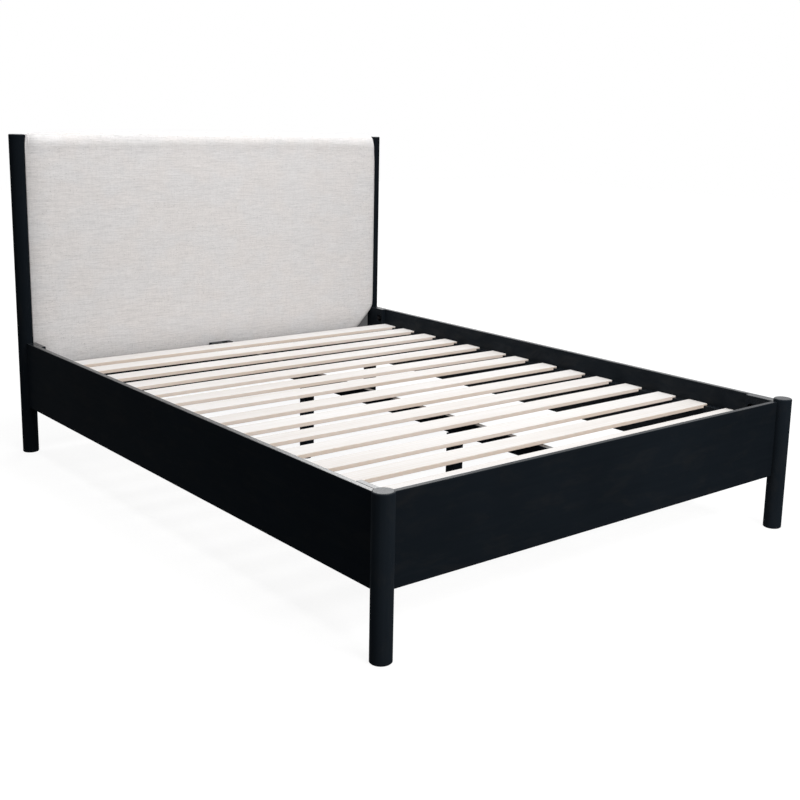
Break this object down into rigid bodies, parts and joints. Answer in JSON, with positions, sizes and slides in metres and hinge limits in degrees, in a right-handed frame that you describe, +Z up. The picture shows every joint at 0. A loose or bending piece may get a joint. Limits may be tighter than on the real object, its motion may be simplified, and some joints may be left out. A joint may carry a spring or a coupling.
{
  "type": "platform bed",
  "caption": "Platform bed: padded headboard between round posts, board rails bolted to round legs, loose wooden slats on ledgers and a legged centre beam.",
  "frame": {"origin": "on the floor under the middle of the bed", "axes": "+X to the right seen from the foot, +Y towards the headboard, +Z up"},
  "size_m": [1.611, 2.1769, 1.1601],
  "materials": {
    "black_wood": "satin",
    "slat_wood": "matte",
    "raw_wood": "matte",
    "cushion_fabric": "woven",
    "lining_fabric": "matte",
    "zinc_steel": "satin",
    "black_plastic": "matte"
  },
  "bodies": {
    "frame": {"beam_block_foot": "black_wood", "beam_block_head": "black_wood", "bolt_nuts": "zinc_steel", "bolt_washers": "zinc_steel", "centre_beam": "black_wood", "centre_leg_foot": "black_wood", "centre_leg_head": "black_wood", "centre_leg_tenons": "raw_wood", "end_block_foot_left": "black_wood", "end_block_foot_right": "black_wood", "end_block_head_left": "black_wood", "end_block_head_right": "black_wood", "foot_leg_left": "black_wood", "foot_leg_right": "black_wood", "foot_rail": "black_wood", "hanger_bolts": "zinc_steel", "head_rail": "black_wood", "headboard_cushion": "cushion_fabric", "headboard_post_left": "black_wood", "headboard_post_right": "black_wood", "panel_face_board": "raw_wood", "panel_frame_bottom": "raw_wood", "panel_frame_middle": "raw_wood", "panel_frame_top": "raw_wood", "panel_lining": "lining_fabric", "panel_stile_left": "raw_wood", "panel_stile_right": "raw_wood", "panel_tenons": "raw_wood", "rail_tenons": "raw_wood", "side_rail_left": "black_wood", "side_rail_right": "black_wood", "slat_ledger_left": "black_wood", "slat_ledger_right": "black_wood"},
    "slat_01_body": {"slat_01": "slat_wood"},
    "slat_02_body": {"slat_02": "slat_wood"},
    "slat_03_body": {"slat_03": "slat_wood"},
    "slat_04_body": {"slat_04": "slat_wood"},
    "slat_05_body": {"slat_05": "slat_wood"},
    "slat_06_body": {"slat_06": "slat_wood"},
    "slat_07_body": {"slat_07": "slat_wood"},
    "slat_08_body": {"slat_08": "slat_wood"},
    "slat_09_body": {"slat_09": "slat_wood"},
    "slat_10_body": {"slat_10": "slat_wood"},
    "slat_11_body": {"slat_11": "slat_wood"},
    "slat_12_body": {"slat_12": "slat_wood"},
    "slat_13_body": {"slat_13": "slat_wood"},
    "slat_14_body": {"slat_14": "slat_wood"},
    "leveller_foot_body": {"leveller_foot": "black_plastic"},
    "leveller_head_body": {"leveller_head": "black_plastic"}
  },
  "joints": [
    {"name": "slat_01_lift", "type": "slide", "parent": "frame", "child": "slat_01_body", "axis": [0, 0, 1], "range_m": [0, 0.1]},
    {"name": "slat_02_lift", "type": "slide", "parent": "frame", "child": "slat_02_body", "axis": [0, 0, 1], "range_m": [0, 0.1]},
    {"name": "slat_03_lift", "type": "slide", "parent": "frame", "child": "slat_03_body", "axis": [0, 0, 1], "range_m": [0, 0.1]},
    {"name": "slat_04_lift", "type": "slide", "parent": "frame", "child": "slat_04_body", "axis": [0, 0, 1], "range_m": [0, 0.1]},
    {"name": "slat_05_lift", "type": "slide", "parent": "frame", "child": "slat_05_body", "axis": [0, 0, 1], "range_m": [0, 0.1]},
    {"name": "slat_06_lift", "type": "slide", "parent": "frame", "child": "slat_06_body", "axis": [0, 0, 1], "range_m": [0, 0.1]},
    {"name": "slat_07_lift", "type": "slide", "parent": "frame", "child": "slat_07_body", "axis": [0, 0, 1], "range_m": [0, 0.1]},
    {"name": "slat_08_lift", "type": "slide", "parent": "frame", "child": "slat_08_body", "axis": [0, 0, 1], "range_m": [0, 0.1]},
    {"name": "slat_09_lift", "type": "slide", "parent": "frame", "child": "slat_09_body", "axis": [0, 0, 1], "range_m": [0, 0.1]},
    {"name": "slat_10_lift", "type": "slide", "parent": "frame", "child": "slat_10_body", "axis": [0, 0, 1], "range_m": [0, 0.1]},
    {"name": "slat_11_lift", "type": "slide", "parent": "frame", "child": "slat_11_body", "axis": [0, 0, 1], "range_m": [0, 0.1]},
    {"name": "slat_12_lift", "type": "slide", "parent": "frame", "child": "slat_12_body", "axis": [0, 0, 1], "range_m": [0, 0.1]},
    {"name": "slat_13_lift", "type": "slide", "parent": "frame", "child": "slat_13_body", "axis": [0, 0, 1], "range_m": [0, 0.1]},
    {"name": "slat_14_lift", "type": "slide", "parent": "frame", "child": "slat_14_body", "axis": [0, 0, 1], "range_m": [0, 0.1]},
    {"name": "leveller_foot_height", "type": "slide", "parent": "frame", "child": "leveller_foot_body", "axis": [0, 0, -1], "range_m": [0, 0.012]},
    {"name": "leveller_head_height", "type": "slide", "parent": "frame", "child": "leveller_head_body", "axis": [0, 0, -1], "range_m": [0, 0.012]}
  ]
}
